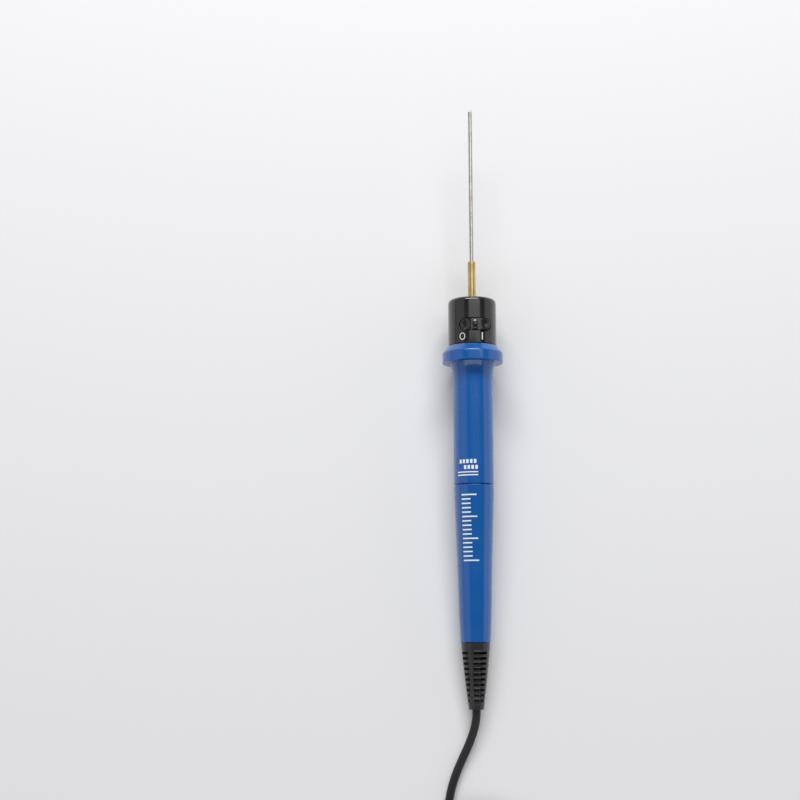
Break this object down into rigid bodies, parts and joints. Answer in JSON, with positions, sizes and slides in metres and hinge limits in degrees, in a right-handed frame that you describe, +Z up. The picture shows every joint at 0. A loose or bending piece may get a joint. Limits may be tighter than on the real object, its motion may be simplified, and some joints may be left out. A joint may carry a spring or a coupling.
{
  "type": "hot wire cutter",
  "caption": "Pen-shaped hot wire foam cutter with a long steel needle, flanged two-part barrel, rocker switch, ribbed strain relief and USB lead.",
  "frame": {"origin": "on the surface that the pen lies on, under the middle of the pen's own box, which leaves out the free cord and its plug", "axes": "+Y along the pen towards the needle's tip, +Z up off the surface, +X to the right seen from the tail"},
  "size_m": [0.0326, 0.4631, 0.0273],
  "materials": {
    "steel": "bright ground stainless steel",
    "brass": "satin turned brass",
    "ceramic": "unglazed white ceramic",
    "black_gloss": "glossy moulded black",
    "blue_plastic": "glossy moulded mid blue",
    "black_rubber": "satin moulded soft black",
    "cord_jacket": "satin black cable jacket",
    "nylon": "natural matte nylon",
    "red_insulation": "satin wire insulation",
    "black_insulation": "satin wire insulation",
    "white_insulation": "satin white plastic",
    "tie": "ribbed black tie strip",
    "plated_shell": "bright nickel plate",
    "gold_contact": "gold flashed contact"
  },
  "bodies": {
    "pen": {"needle": "steel", "heating_wire": "steel", "brass_sleeve": "brass", "return_tab": "brass", "ceramic_bushing": "ceramic", "wire_crimp": "brass", "collar": "black_gloss", "front_barrel": "blue_plastic", "rear_barrel": "blue_plastic", "strain_relief": "black_rubber", "cord_core": "cord_jacket", "cord_stop": "nylon", "switch_housing": "nylon", "rocker_pin": "steel", "centre_terminal": "brass", "load_terminal": "brass", "supply_lead": "red_insulation", "return_lead": "black_insulation", "load_lead": "white_insulation", "cord_lead": "cord_jacket", "cord_hank": "cord_jacket", "cord_tie": "tie", "cord_tail": "cord_jacket", "usb_grip": "black_rubber", "usb_shell": "plated_shell", "usb_tongue": "white_insulation", "usb_contact_1": "gold_contact", "usb_contact_2": "gold_contact", "usb_contact_3": "gold_contact", "usb_contact_4": "gold_contact"},
    "rocker": {"switch_rocker": "black_gloss", "rocker_plunger": "steel", "plunger_spring": "steel"},
    "blade": {"contact_blade": "brass"}
  },
  "joints": [
    {"name": "rocker_tilt", "type": "hinge", "parent": "pen", "child": "rocker", "pos_m": [0.00086, 0.0329, 0.02206], "axis": [0, 0.9984, 0.0573], "range_deg": [0, 14]},
    {"name": "blade_tilt", "type": "hinge", "parent": "pen", "child": "blade", "pos_m": [0.00041, 0.03312, 0.01809], "axis": [0, 0.9984, 0.0573], "range_deg": [-8.4, 0]}
  ],
  "couplings": [
    {"joint": "blade_tilt", "follows": "rocker_tilt", "ratio": -0.6}
  ]
}
